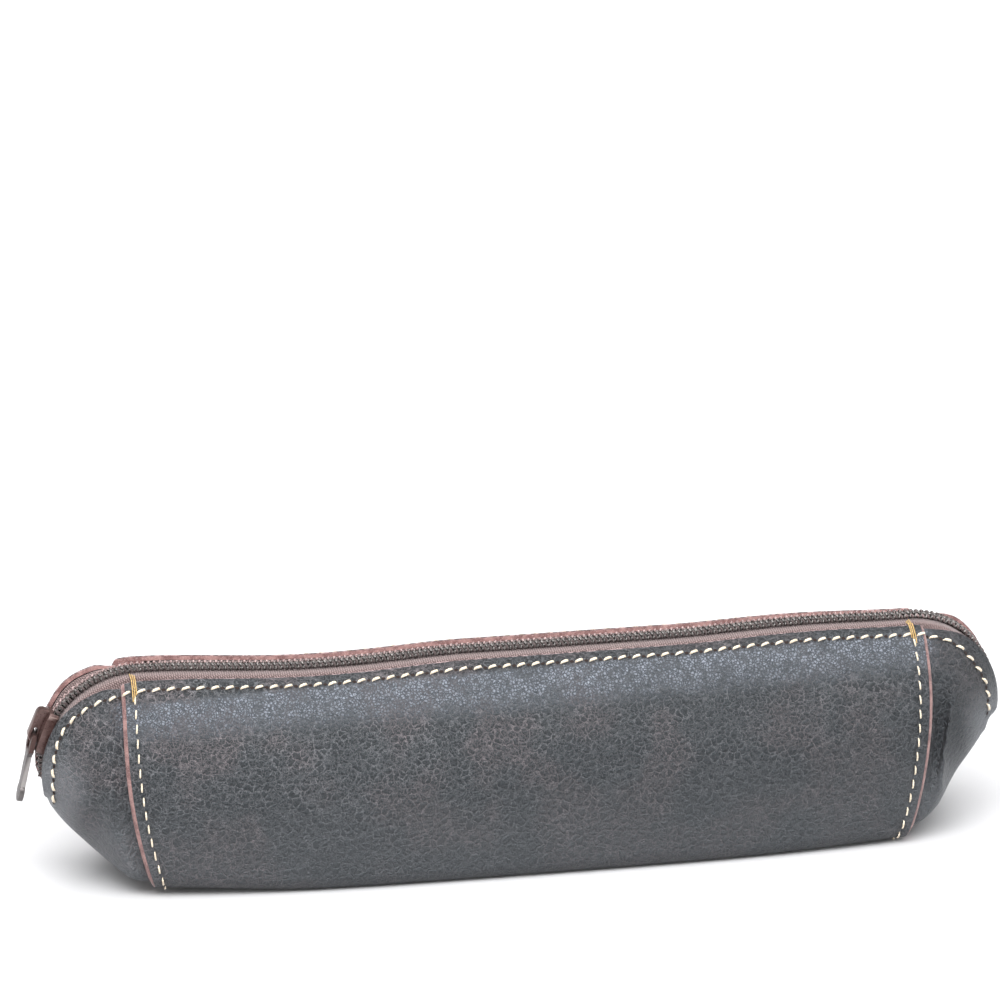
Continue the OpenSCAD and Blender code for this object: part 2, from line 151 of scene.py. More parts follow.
def object_millimetres(tree):
    """The place on the piece, in millimetres."""
    return vector_maths(tree, "SCALE", add(tree, "TexCoord").outputs["Object"], Scale=1000)


# %% [markdown]
# ## Crackled leather
# The grain side was finished dark and then cracked, so a web of paler lines about a
# millimetre apart runs between small glossy plateaus. Where the light strikes flat the
# plateaus shine and the web looks dark, and elsewhere the web looks pale. A Voronoi
# texture's distance to its cell edges gives both. Its place is bent by a slow noise and
# by a quick one, so that no crack runs straight, and a third noise lets cracks fade.
# A band under the zip's stitches is a painted highlight, with pale blue-grey pebbles between cracks
# painted dark, where the leather curves up to the lamps. The low outer parts of both ends are painted
# pale too, a painted highlight of the light from the floor and the sides.


# %% Leather, grain side
def bend(tree, place, scale, reach):
    """A place that a noise shifts by up to half of a reach."""
    random = add(tree, "TexNoise", _0=place, Scale=scale, Detail=2.0).outputs["Color"]
    shift = vector_maths(tree, "SUBTRACT", random, _1=(0.5, 0.5, 0.5))
    return vector_maths(tree, "ADD", place, _1=vector_maths(tree, "SCALE", shift, Scale=reach))


def web(tree, place, cells_per_mm, reach):
    """Distance to the nearest crack of a web that is bent by two noises."""
    place = bend(tree, place, cells_per_mm * 1.1, reach)
    place = bend(tree, place, cells_per_mm * 4.5, reach * 0.3)
    settings = {"feature": "DISTANCE_TO_EDGE"}
    cells = add(tree, "TexVoronoi", settings, Vector=place, Scale=cells_per_mm)
    return cells.outputs["Distance"]


grain, tree, shader = blank_material("leather_grain")
place = object_millimetres(tree)
x, _, z = add(tree, "SeparateXYZ", _0=place).outputs
from_middle = maths(tree, "ABSOLUTE", x)
under_zip = maths(tree, "SUBTRACT", z, times(tree, x, 0.02))
coarse, fine = web(tree, place, 0.6, 1.8), web(tree, place, 1.5, 0.8)
fading, patches = noise(tree, place, 0.45, 3.0), noise(tree, place, 0.06)
speckle = noise(tree, place, 4.5, 4.0, 0.65)

coarse_crack = times(tree, ramp(tree, coarse, 0.01, 0.11, 1.0, 0.0),
                     ramp(tree, fading, 0.32, 0.6, 0.3, 1.0))
fine_crack = times(tree, ramp(tree, fine, 0.01, 0.13, 0.7, 0.0),
                   ramp(tree, fading, 0.4, 0.68, 1.0, 0.2))
cracked = times(tree, maths(tree, "MAXIMUM", coarse_crack, fine_crack),
                ramp(tree, speckle, 0.34, 0.62, 0.15, 1.0),
                ramp(tree, patches, 0.3, 0.7, 0.7, 1.0),
                ramp(tree, z, 2.0, 40.0, 0.45, 1.0),
                ramp(tree, x, -70.0, 40.0, 1.0, 0.7),
                ramp(tree, x, 90.0, 95.0, 1.0, 0.6))
# Painted highlight: the band under the zip's stitches, where the leather curves up to the light.
painted_highlight_band = times(tree, ramp(tree, under_zip, 37.0, 43.5), ramp(tree, under_zip, 45.4, 46.8, 1.0, 0.0),
             ramp(tree, from_middle, 90.5, 96.0, 1.0, 0.0), ramp(tree, fading, 0.35, 0.6, 0.4, 1.0))
# Painted highlight: the low outer parts and the tips of both ends are made paler, for light from the
# floor and the sides.
painted_end_light_low = times(tree, ramp(tree, from_middle, 82.0, 98.0, 0.25, 1.0),
                   ramp(tree, z, 6.0, 27.0, 0.8, 0.0))
painted_end_light_tip = times(tree, ramp(tree, from_middle, 98.0, 106.0), ramp(tree, z, 26.0, 38.0, 1.0, 0.0))

plateau = blend_colours(tree, ramp(tree, patches, 0.4, 0.62), (0.006, 0.0055, 0.006),
                        (0.012, 0.0105, 0.011))
plateau = blend_colours(tree, ramp(tree, speckle, 0.5, 0.7, 0.0, 0.4), plateau, (0.055, 0.048, 0.05))
# Painted highlight colours: pale blue-grey pebbles, with dark cracks between them.
painted_highlight_pebbles = blend_colours(tree, ramp(tree, fine, 0.03, 0.3), (0.03, 0.032, 0.038), (0.215, 0.232, 0.27))
plateau = blend_colours(tree, painted_highlight_band, plateau, painted_highlight_pebbles)
# The painted highlight of the ends lightens their plateaus.
plateau = blend_colours(tree, maths(tree, "MAXIMUM", painted_end_light_low, painted_end_light_tip), plateau,
                        (0.105, 0.108, 0.115))
web_colour = blend_colours(tree, ramp(tree, patches, 0.45, 0.6), (0.19, 0.19, 0.20),
                           (0.20, 0.172, 0.178))
# The cracks in the painted highlight band are painted dark.
web_colour = blend_colours(tree, times(tree, painted_highlight_band, 0.85), web_colour, (0.03, 0.03, 0.035))

height = maths(tree, "ADD", ramp(tree, coarse, 0.0, 0.3), times(tree, ramp(tree, fine, 0.0, 0.3), 0.5))
height = maths(tree, "ADD", height, times(tree, speckle, 0.5))
bump = add(tree, "Bump", Strength=0.8, Distance=0.00026, Height=height)
shine = maths(tree, "ADD", ramp(tree, cracked, 0.0, 1.0, 0.27, 0.7), times(tree, speckle, 0.12))
feed(tree, shader, Base_Color=blend_colours(tree, cracked, plateau, web_colour), Roughness=shine,
     Normal=bump.outputs[0], Specular_IOR_Level=0.5, Specular_Tint=(0.8, 0.92, 1.0, 1))
print("grain material has", len(tree.nodes), "nodes")

# %% [markdown]
# ## The cut edge and the flesh side
# The leather is cut through and left raw, so its pink-brown core shows at each edge, and
# the same suede lines the inside. Short fibres make it matt and fuzzy, so the roughness
# is high, a little sheen lies over it, and a stretched noise gives the nap.

# %% Leather, flesh side
flesh, tree, shader = blank_material("leather_flesh")
place = object_millimetres(tree)
nap = noise(tree, place, 3.5, 5.0, 0.7)
tint = ramp(tree, noise(tree, place, 0.4), 0.38, 0.62)
core = blend_colours(tree, tint, (0.13, 0.058, 0.055), (0.25, 0.135, 0.125))
core = blend_colours(tree, ramp(tree, nap, 0.45, 0.75, 0.0, 0.7), core, (0.44, 0.31, 0.29))
bump = add(tree, "Bump", Strength=0.6, Distance=0.00015, Height=nap)
feed(tree, shader, Base_Color=core, Roughness=0.9, Normal=bump.outputs[0],
     Sheen_Weight=0.3, Sheen_Roughness=0.5)
print("flesh material has", len(tree.nodes), "nodes")

# The strip along the zip's edge: dark leather with pale patches, a painted highlight where the cut edge
# catches the light.
edge_glint_leather, tree, shader = blank_material("painted_edge_glint")
edge_glint_share = ramp(tree, noise(tree, object_millimetres(tree), 1.1, 5.0), 0.4, 0.64)
pale = blend_colours(tree, edge_glint_share, (0.05, 0.033, 0.034), (0.34, 0.25, 0.25))
feed(tree, shader, Base_Color=pale, Roughness=0.75)

# %% [markdown]
# ## The line of the zip
# Everything on the case hangs from one line: the middle of the zip. It runs nearly
# straight over the top, with a slight sag, and turns down each end in an arc. These
# functions work on whole numpy arrays at once, so that a piece of several thousand
# points takes no longer to write than one point.

# %% The zip's line
corner_sweep, notch_sweep = math.radians(107), math.radians(12)
zip_height, zip_sag, zip_dip, zip_crest = 49.4, 0.9, 1.4, 0.7


def sided(m, left, right):
    """What differs between the two sides: negative numbers lie to the left."""
    return np.where(np.asarray(m) < 0, left, right)


def half_run(m):
    return sided(m, 87.2, 89.8)


def corner_r(m):
    return sided(m, 22.3, 20.0)


def zip_half(m):
    return half_run(m) + corner_r(m) * corner_sweep


def open_half(m):
    return half_run(m) + corner_r(m) * (corner_sweep - notch_sweep)


def mix(a, b, t):
    return a + (b - a) * t


def ease(t):
    t = np.clip(t, 0, 1)
    return t * t * (3 - 2 * t)


def bezier(a, b, c, d, t):
    return (1 - t) ** 3 * a + 3 * (1 - t) ** 2 * t * b + 3 * (1 - t) * t * t * c + t**3 * d


def points(*coordinates):
    """One array of points from arrays of coordinates."""
    return np.stack(np.broadcast_arrays(*coordinates), -1)


def arc_angle(u):
    return np.maximum(0, np.abs(u) - half_run(u)) / corner_r(u)


def local_rise(u, middle, reach):
    """A smooth bump of height 1 that dies out at a distance from its middle."""
    return np.maximum(0, 1 - ((u - middle) / reach) ** 2) ** 2


def zip_at(u):
    """x and z at a distance u along the zip from mid case."""
    angle, run = arc_angle(u), np.minimum(np.abs(u), half_run(u))
    sink = zip_sag * np.maximum(0, 1 - (u / half_run(u)) ** 2) + corner_r(u) * (1 - np.cos(angle))
    sink = sink + zip_dip * local_rise(u, -48, 36) - zip_crest * local_rise(u, 63, 27)
    return points(np.sign(u) * (run + corner_r(u) * np.sin(angle)), zip_height - sink)


def zip_out(u):
    """The direction straight out of the zip, as x and z."""
    return points(np.sign(u) * np.sin(arc_angle(u)), np.cos(arc_angle(u)))


print("the zip is", round(float(open_half(-1) + open_half(1)), 1), "mm long")

# %% [markdown]
# ## The skin of the case
# The leather's outer face is a stack of ribs, each a line from the front edge down the
# front, round the fold, across the base and up the back. Rib 0 is at mid case, 1 at a
# seam and 2 at the notch where an end closes; the left half has negative numbers. The
# real case is cut from flat leather, but it has been stuffed and handled, so a smooth
# formula fits it better than a flat pattern would.

# %% Ribs
seam_top, opening_half, shut_half = 92, 5.3, 0.15
base_l, base_w, flat_l, fold_r = 173.4, 42.4, 96, 4
seam_w_left, seam_w_right, seam_rise_left, seam_rise_right = 32.8, 35.4, 1.6, 0.6
nose_half_w, end_round, back_hump = 0.9, 1.5, 1.3
edge_slope, seam_swing, spine_reach = math.radians(23), 2.9, 0.36
side_steps, fold_steps, base_steps = 8, 3, 2
half_steps = side_steps + fold_steps + base_steps
last_step = 2 * half_steps


def beyond_seam(m):
    return np.clip(np.abs(m) - 1, 0, 1)


def rib_u(m):
    """Distance along the zip at a rib."""
    inner, outer = np.abs(m) * seam_top, mix(seam_top, zip_half(m), np.abs(m) - 1)
    return np.sign(m) * np.where(np.abs(m) <= 1, inner, outer)


def rib_at(u, side):
    """The rib at a distance u along the zip, counted without its sign, on one side."""
    return np.where(u <= seam_top, u / seam_top, 1 + (u - seam_top) / (zip_half(side) - seam_top))


def rib_edge(m):
    """Half of the opening at a rib: the leather edges close in an oval at the notch."""
    closing = np.clip((np.abs(rib_u(m)) - open_half(m)) / (zip_half(m) - open_half(m)), 0, 1)
    return np.maximum(shut_half, opening_half * np.sqrt(1 - closing**2))


def edge_height(m, front):
    """Height of a leather edge over the coil's middle: mid case, then a seam, then a notch."""
    q = beyond_seam(m)
    middle = np.where(front, -0.45, 0.35)
    seam = np.where(front, sided(m, -1.1, -0.5), sided(m, 0.7, -0.6))
    notch = np.where(front, sided(m, 0.4, -0.45), -0.4)
    hump = np.where(front, 0, sided(m, back_hump * np.sin(np.pi * np.clip(q / 0.7, 0, 1)) ** 2, 0))
    at_seam = mix(middle, seam, np.minimum(1, np.abs(m)) ** 2)
    return mix(at_seam, notch, ease((q - np.where(front, 0, 0.2)) / 0.5)) + hump


def rib_width(m):
    """Half of the case's width at a rib."""
    at_seam = sided(m, seam_w_left, seam_w_right) / 2
    q = beyond_seam(m)
    full = mix(base_w / 2, at_seam, np.minimum(1, np.abs(m)) ** 3)
    return full * np.sqrt(np.maximum(0, 1 - q**end_round)) + nose_half_w * q


def rib_top(m, height):
    u = rib_u(m)
    return (zip_at(u) + height[..., None] * zip_out(u)) * points(sided(m, -1, 1), 1)


def rib_foot(m):
    """Lower end of a rib, as a distance from mid case and a height."""
    m = np.asarray(m, float)
    a, rise = np.abs(m), sided(m, seam_rise_left, seam_rise_right)
    under = points(a * base_l / 2, rise * ease((a * base_l - flat_l) / (base_l - flat_l)))
    side = sided(m, -1, 1)
    start, notch = points(base_l / 2, rise), zip_at(side * zip_half(m)) * points(side, 1)
    toe, nose = points(12, sided(m, 5, 6.5)), points(sided(m, 2.75, 4.75), sided(m, 5, 7))
    end = bezier(start, start + toe, notch - nose, notch - [0.5, 1.1], beyond_seam(m)[..., None])
    return np.where(a[..., None] <= 1, under, end)


def foot_angle(m):
    """Slope of the lower outline of an end."""
    s, a = sided(m, -1, 1), np.abs(m)
    run = rib_foot(s * np.minimum(2, a + 0.02)) - rib_foot(s * np.maximum(1, a - 0.02))
    return np.arctan2(run[..., 1], run[..., 0])


def rib_spine(m, height, t):
    """A rib's line in side view at a share t of the way down."""
    top, foot, q = rib_top(m, height), rib_foot(m), beyond_seam(m)
    length = np.linalg.norm(foot - top, axis=-1)
    swing = np.arctan(seam_swing / length) * np.minimum(1, np.abs(m))
    lean_top = mix(swing, -arc_angle(rib_u(m)), ease(q / 0.5))
    lean_foot = mix(5 * swing, -foot_angle(m), ease(q / 0.6))
    reach = spine_reach * length
    from_top = points(reach * np.sin(lean_top), -reach * np.cos(lean_top))
    from_foot = points(reach * np.sin(lean_foot), reach * np.cos(lean_foot))
    return bezier(top, top + from_top, foot + from_foot, foot, t[..., None])


# %% [markdown]
# A rib's outline has three parts. The side leaves the zip on a gentle slope and swells
# out, the fold is a quarter of an ellipse, and the base is flat. The skin is then every
# rib in its place, and its outward direction comes from the two neighbouring points on
# each side.


# %% The outer face and its outward direction
def rib_outline(m, height, j):
    """Share of the way down, and half width, at step j of one half."""
    length = np.linalg.norm(rib_foot(m) - rib_top(m, height), axis=-1)
    w, e, q = rib_width(m), rib_edge(m), ease(beyond_seam(m) / 0.6)
    drop = np.minimum(0.25, 0.7 * (w - e) * math.tan(edge_slope) / length)
    fold_a = mix(np.minimum(0.45, fold_r / length), 0.45, q)
    fold_y = mix(np.minimum(fold_r, 0.8 * w), 0.8 * w, q)
    t = np.clip(j / side_steps, 0, 1)
    side = bezier(points(0, e), points(drop, mix(e, w, 0.7)), points(0.42, 1.02 * w),
                  points(1 - fold_a, w), t[..., None])
    a = np.pi / 2 * np.clip((j - side_steps) / fold_steps, 0, 1)
    fold = points(1 - fold_a + fold_a * np.sin(a), w - fold_y + fold_y * np.cos(a))
    base = points(1, (w - fold_y) * (half_steps - j) / base_steps)
    on_side, on_fold = j <= side_steps, j <= side_steps + fold_steps
    return np.where(on_side[..., None], side, np.where(on_fold[..., None], fold, base))


def skin(m, j):
    """A point of the outer face: rib m, step j from the front edge to the back edge."""
    m, j = np.broadcast_arrays(np.asarray(m, float), np.asarray(j, float))
    front = j <= half_steps
    height = edge_height(m, front)
    o = rib_outline(m, height, np.where(front, j, last_step - j))
    p = rib_spine(m, height, o[..., 0])
    return points(sided(m, -1, 1) * p[..., 0], np.where(front, -1, 1) * o[..., 1], p[..., 1])


def outward(m, j, reach=0.004):
    """The skin's outward direction."""
    along = skin(np.clip(m + reach, -2, 2), j) - skin(np.clip(m - reach, -2, 2), j)
    down = skin(m, np.clip(j + 0.2, 0, last_step)) - skin(m, np.clip(j - 0.2, 0, last_step))
    n = np.cross(down, along)
    return n / np.linalg.norm(n, axis=-1, keepdims=True)


print("width at mid case", round(float(np.ptp(skin(0, np.array([8.0, 18.0]))[:, 1])), 1), "mm")

# %% [markdown]
# ## Layers under the skin
# The end panels tuck under the body panel along the seams, where they are pared thin, and
# swell out level with it just beyond. The tape lies under both. All these layers follow
# the same ribs at their own depths. A soft case is also never quite even, so one slow
# wave, the same for every layer, lifts and sinks the leather by a few tenths of a
# millimetre. It dies out towards the zip and towards the table. Handling has left its
# marks too: the edges stand up round the ends of the zip, and a creased dent lies beside
# the right seam.

# %% Depths and waves
leather_t, pared_t, sewn_gap, tape_t, lap_w = 1.2, 0.6, 0.05, 0.55, 7
lap_m = lap_w / seam_top


def swelling(m):
    """How far an end panel has swelled out level with the body panel beyond the seam."""
    swell_m = sided(m, 4.5, 11) / (zip_half(m) - seam_top)
    return ease((np.abs(m) - 1) / swell_m)


def end_depth(m):
    return (leather_t + sewn_gap) * (1 - swelling(m))


def end_thickness(m):
    return mix(pared_t, leather_t, swelling(m))


def soft_waves(p, j):
    """Slow unevenness of the leather at points p of steps j."""
    x, z = p[..., 0], p[..., 2]
    wave = (np.sin(x / 8.7 + 0.9 * np.sin(z / 9)) * np.cos(z / 7.3 + x / 31)
            + 0.7 * np.sin(x / 15.1 + z / 6.1 + 1.7) + 0.4 * np.sin(x / 4.9 - z / 5.3 + 0.4))
    from_zip = np.minimum(j, last_step - j)
    return 0.17 * wave * ease((from_zip - 0.6) / 1.5) * ease((z - 2.5) / 7)


def flare(m, j, p):
    """Edges beside the zip that stand up round the ends: at the left only the back one."""
    q, front = beyond_seam(m), j <= half_steps
    from_edge = np.linalg.norm(p - skin(m, np.where(front, 0.0, last_step)), axis=-1)
    right = np.where(front, 0.75, 1.6) * ease((q - 0.05) / 0.35)
    left = np.where(front, 0.0, 1.1) * ease((q - 0.4) / 0.25)
    return sided(m, left, right) * (1 - ease((q - 0.88) / 0.12)) * np.exp(-((from_edge / 2.6) ** 2))


def hollows(m, j, p):
    """Dents beside the seams, where the case was pressed: deep and creased at the right."""
    q, z = beyond_seam(m), p[..., 2]
    tall = ease((z - 5) / 12) * ease((42 - z) / 12)
    creases = 0.2 * np.sin(1.7 * (np.abs(p[..., 0]) + 0.6 * z)) * np.exp(-(((q - 0.24) / 0.12) ** 2))
    right = 1.05 * np.exp(-(((q - 0.11) / 0.11) ** 2)) + creases
    left = 0.55 * np.exp(-(((q - 0.14) / 0.09) ** 2))
    return sided(m, left, np.where(j <= half_steps, right, 0.4 * right)) * tall * ease(q / 0.05)


def layer(m, j, depth):
    """Points at a depth below the skin, with its waves, flares and dents."""
    m, j = np.broadcast_arrays(np.asarray(m, float), np.asarray(j, float))
    p = skin(m, j)
    lift = soft_waves(p, j) + flare(m, j, p) - hollows(m, j, p) - depth
    return p + outward(m, j) * np.asarray(lift)[..., None]


# %% [markdown]
# ## Turning a grid of points into a mesh
# Each leather piece is a fine outer grid, a coarser inner one that nobody sees closely,
# and a narrow rim of cut edge between them. Written as numpy index arithmetic, the faces
# of a whole grid come from one line, which is far quicker than adding them one by one.


# %% Grid and mesh helpers
def grid_faces(rows, cols, start=0, flip=False):
    """Quads over a grid of points that starts at a given number."""
    i, j = np.meshgrid(np.arange(rows - 1), np.arange(cols - 1), indexing="ij")
    a = (start + i * cols + j).ravel()
    quads = np.stack([a, a + cols, a + cols + 1, a + 1], -1)
    return quads[:, ::-1] if flip else quads


def border(rows, cols):
    """The numbers of a grid's outermost points, in order round it."""
    n = np.arange(rows * cols).reshape(rows, cols)
    return np.concatenate([n[0, :-1], n[:-1, -1], n[-1, :0:-1], n[:0:-1, 0]])


def make_piece(name, places, faces, materials, face_material=None, body="case", slot=None, sharp=40):
    """A mesh object from millimetre points and faces, riding on a body of the frame."""
    mesh = bpy.data.meshes.new(name)
    mesh.from_pydata((np.asarray(places) * 0.001).tolist(), [], [list(map(int, f)) for f in faces])
    for material in materials:
        mesh.materials.append(material)
    if face_material is not None:
        mesh.polygons.foreach_set("material_index", np.asarray(face_material, np.int32))
    mesh.shade_smooth()
    mesh.set_sharp_from_angle(angle=math.radians(sharp))
    piece = new_object(name, mesh)
    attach(piece, body)
    print(name, len(faces), "faces")
    return piece


def sheet_solid(outer, inner_edge, inner, cut_rows=0):
    """Points, faces and materials (0 grain, 1 cut edge and flesh, 2 zip edge with a painted highlight)
    of a sheet.
    """
    rows, cols = outer.shape[:2]
    ring = border(rows, cols)
    rim_top = len(ring)
    flat = outer.reshape(-1, 3)
    edge_low = inner_edge.reshape(-1, 3)[ring]
    middle = (flat[ring] + edge_low) / 2
    at_middle, at_low = len(flat), len(flat) + rim_top
    at_inner = at_low + rim_top
    places = np.concatenate([flat, middle, edge_low, inner.reshape(-1, 3)])
    nxt = np.roll(np.arange(rim_top), -1)
    here = np.arange(rim_top)
    rim = np.concatenate([
        np.stack([ring, ring[nxt], at_middle + nxt, at_middle + here], -1),
        np.stack([at_middle + here, at_middle + nxt, at_low + nxt, at_low + here], -1)])
    skin_faces = grid_faces(rows, cols)
    lining = grid_faces(*inner.shape[:2], start=at_inner, flip=True)
    faces = np.concatenate([skin_faces, rim, lining])
    skin_kinds = np.zeros((rows - 1, cols - 1))
    skin_kinds[:cut_rows] = skin_kinds[rows - 1 - cut_rows:] = 1
    # The strips along the zip's edges take the painted edge highlight.
    skin_kinds[:, [0, 1, -2, -1]] = 2
    kinds = np.concatenate([skin_kinds.ravel(), np.ones(len(rim) + len(lining))])
    return places, faces, kinds


# %% [markdown]
# ## Where the stitches go
# Two kinds of seam show. A row of topstitching follows the zip at 3 mm from the leather's
# edge, along the front, round both ends and along the back. A second row runs down each
# seam, 3 mm in from the body panel's cut edge. Stitches are 3.3 mm apart. Thread pulls
# the leather down, so the rows are worked out first and the leather gets its grooves and
# needle holes from the same distances.

# %% Stitch rows
stitch_pitch, row_inset = 3.3, 3.25
at_holes_only = 0.55  # share of a groove's depth that is reached at the needle holes only
panel_half = 90  # millimetres of the body panel's skin from mid case to a seam
seam_inset = 3.1
seam_row_m = 1 - seam_inset / panel_half
row_ends = -1.95, 1.87  # ribs at which the rows beside the zip end


def inset_at(m):
    """The rows stand further from the edge as they go round the ends."""
    q = beyond_seam(m)
    return row_inset + sided(m, 1.0 * ease((q - 0.4) / 0.4), 1.9 * ease((q - 0.05) / 0.4))


def runs(lines):
    """Distance from the start of each line, for one line or a row of them."""
    step = np.linalg.norm(np.diff(lines, axis=-2), axis=-1)
    return np.concatenate([np.zeros(step.shape[:-1] + (1,)), np.cumsum(step, -1)], -1)


def at_inset(m, inset, back):
    """Step j at a distance down the rib from the leather's edge."""
    j = np.linspace(0, side_steps, 160)
    line = skin(np.asarray(m)[:, None], last_step - j if back else j)
    insets = np.broadcast_to(inset, len(m))
    found = np.array([np.interp(i, r, j) for i, r in zip(insets, runs(line))])
    return last_step - found if back else found


row_m = np.linspace(*row_ends, 1600)
zip_rows = {}
for back in (False, True):
    row_j = at_inset(row_m, inset_at(row_m), back)
    row_line = skin(row_m, row_j)
    run = runs(row_line)
    zip_rows[back] = (row_j, run - np.interp(0, row_m, run))
print("topstitch row is", round(float(np.ptp(zip_rows[False][1])), 1), "mm long")


def thread_groove(run, across, deep, wide=0.75):
    """Sink of the leather beside a row: deepest at the needle holes."""
    near_hole = 0.5 + 0.5 * np.cos(2 * np.pi * run / stitch_pitch)
    return deep * mix(1 - at_holes_only, 1, near_hole**2) * np.exp(-((across / wide) ** 2))


def strip_lift(m, from_edge):
    """The tape under the strip beside the zip holds it up, most of all at the stitches."""
    before = from_edge / inset_at(m)
    return 0.6 * np.where(before < 1, before, np.exp(-((from_edge - inset_at(m)) / 2.2)))


def sewn_sink(m, j):
    """How far the threads pull the leather down over a grid of ribs m and steps j."""
    run = runs(skin(m, j))
    total = run[:, -1:]
    sink = np.zeros(run.shape)
    for back, from_edge in ((False, run), (True, total - run)):
        along = np.interp(m[:, 0], row_m, zip_rows[back][1])[:, None]
        sink += thread_groove(along, from_edge - inset_at(m), 0.3)
        if not back:
            sink -= strip_lift(m, from_edge)
    seam_across = (np.abs(m) - seam_row_m) * panel_half
    below_row = ease((np.minimum(run, total - run) - row_inset + 0.5) / 0.5)
    sink += thread_groove(run, seam_across, 0.24) * below_row * (np.abs(m) <= 1)
    return sink


# %% [markdown]
# ## The body panel
# Its two side edges are cut with a slanting knife and lie over the end panels, so a band of raw leather
# shows there. The outermost strip of the grid sinks to make that slant and takes the flesh material.
# Along the zip the edge is only scuffed, so its strip is narrow; that strip is dark leather with pale
# patches, a painted highlight where the cut edge catches the light.

# %% Body panel
stitch_step = stitch_pitch / 6
side_j = [0, 0.06, 0.12, *np.arange(0.2, 1.6, 0.1), *np.arange(1.65, side_steps, 0.125)]
half_j = np.concatenate([side_j, np.arange(side_steps, half_steps, 0.25)])
all_j = np.concatenate([half_j, [half_steps], last_step - half_j[::-1]])
slant, scuff = 0.85, 0.35


def worn_sink(run, total, m=None):
    """Sink of the grain along cut edges: worn down at the zip, slanted at the body panel's sides."""
    near_zip = np.minimum(run, total - run)
    sink = 0.28 * np.clip(1 - near_zip / scuff, 0, 1) ** 1.5
    if m is not None:
        from_side = (1 - np.abs(m)) * panel_half
        sink = np.maximum(sink, 0.75 * np.clip(1 - from_side / slant, 0, 1) ** 1.3)
    return sink


inside = np.arange(-91.0, 91.01, stitch_step)
inside = inside - inside[np.argmin(np.abs(inside))]
cut_edge = np.array([91.1, 91.45, 91.75, seam_top])
body_u = np.unique(np.concatenate([inside, -cut_edge, cut_edge]).round(3))
m = (body_u / seam_top)[:, None]
run = runs(skin(m, all_j))
outer = layer(m, all_j, sewn_sink(m, all_j) + worn_sink(run, run[:, -1:], m))
inner_edge = layer(m, all_j, leather_t)
inner = layer(m[::5], all_j[::3], leather_t)
places, faces, kinds = sheet_solid(outer, inner_edge, inner, cut_rows=len(cut_edge) - 1)
leathers = [grain, flesh, edge_glint_leather]
body_panel = make_piece("body_panel_leather", places, faces, leathers, kinds, slot="leather")
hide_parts("body_panel")

# %% [markdown]
# ## The end panels
# Each end panel is pared thin where it runs under the body panel. Beyond the seam it swells out level
# with it and then closes round the end of the zip. Its edge beside the zip is scuffed as the body
# panel's is and carries the same painted highlight. Its inner face is drawn in beside the seam, so that
# it stays behind the dent.

# %% End panels
lining_in, lining_narrow = 1.3, 0.3
for side, node in ((-1, "end_panel_left"), (1, "end_panel_right")):
    tip = float(zip_half(side))
    end_u = np.concatenate([np.arange(seam_top - lap_w, seam_top, 0.7),
                            np.arange(seam_top, tip - 3, stitch_step), np.linspace(tip - 3, tip, 10)])
    end_m, open_m = rib_at(end_u, side), rib_at(open_half(side), side)
    m = (side * end_m if side > 0 else side * end_m[::-1])[:, None]
    run = runs(skin(m, all_j))
    sink = np.where(np.abs(m) > 1, sewn_sink(m, all_j), 0)
    worn = worn_sink(run, run[:, -1:]) * (np.abs(m) > 1)
    outer = layer(m, all_j, end_depth(m) + sink * (1 - ease((np.abs(m) - 1.9) / 0.08)) + worn)
    whole = np.abs(m) <= 1
    m_in = np.where(whole, m, np.sign(m) * mix(1, open_m, np.abs(m) - 1))
    inner_edge = layer(m_in, all_j, end_depth(m_in) + end_thickness(m_in))
    m_in = m_in[::2]
    q = beyond_seam(m_in)
    tucked = ease(q / 0.05) * (1 - ease((q - 0.45) / 0.2))
    inner = layer(m_in, all_j[::2], end_depth(m_in) + end_thickness(m_in) + lining_in * tucked)
    inner[..., 1] *= 1 - lining_narrow * tucked
    places, faces, kinds = sheet_solid(outer, inner_edge, inner)
    piece = make_piece(node + "_leather", places, faces, leathers, kinds, slot="leather")
    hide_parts(node)

# %% [markdown]
# ## The tape
# A zip tape is woven in a fine herringbone. Its weave follows the tape round the corners,
# so the piece gets a UV map in millimetres, along and across, and the weave's threads
# are two wave textures on that map. The tape runs flat beside the chain, where the slider
# needs it, and then dips under the leather.

# %% Woven tape
weave, tree, shader = blank_material("woven_tape")
cloth_map = add(tree, "UVMap", {"uv_map": "cloth"}).outputs[0]
cloth_mm = vector_maths(tree, "SCALE", cloth_map, Scale=1000)
ribs = add(tree, "TexWave", {"bands_direction": "X"}, Vector=cloth_mm,
           Scale=0.6, Distortion=2.0, Detail=1.0)
picks = add(tree, "TexWave", {"bands_direction": "DIAGONAL"}, Vector=cloth_mm,
            Scale=0.85, Distortion=2.5)
threads = times(tree, ribs.outputs["Fac"], picks.outputs["Fac"])
relief = maths(tree, "ADD", threads, times(tree, noise(tree, cloth_mm, 2.2, 4.0), 0.4))
# The weave's relief also sets its colour over the yarn's own colour: darker in the hollows as painted
# shade, paler on the ridges as painted highlight.
yarn_colour_and_shade = blend_colours(tree, ramp(tree, relief, 0.15, 0.75), (0.07, 0.046, 0.044), (0.25, 0.18, 0.175))
bump = add(tree, "Bump", Strength=0.8, Distance=0.00012, Height=relief)
feed(tree, shader, Base_Color=yarn_colour_and_shade, Roughness=0.85, Normal=bump.outputs[0], Sheen_Weight=0.25)

tape_slit, tape_flat, coil_h, coil_gap = 2.2, 4.05, 1.2, 0.07
tape_top = -coil_h / 2 - coil_gap
dip_rib = 1 - 1.6 * lap_m


def tape_depth(m):
    """Depth of the tape's face below the skin, under one leather or two."""
    a = np.abs(m)
    stepping = mix(leather_t, end_depth(1.0) + pared_t, (a - dip_rib) / (1 - lap_m - dip_rib))
    under = np.where(a < 1 - lap_m, stepping, end_depth(m) + end_thickness(m))
    return sewn_gap + np.where(a <= dip_rib, leather_t, under)


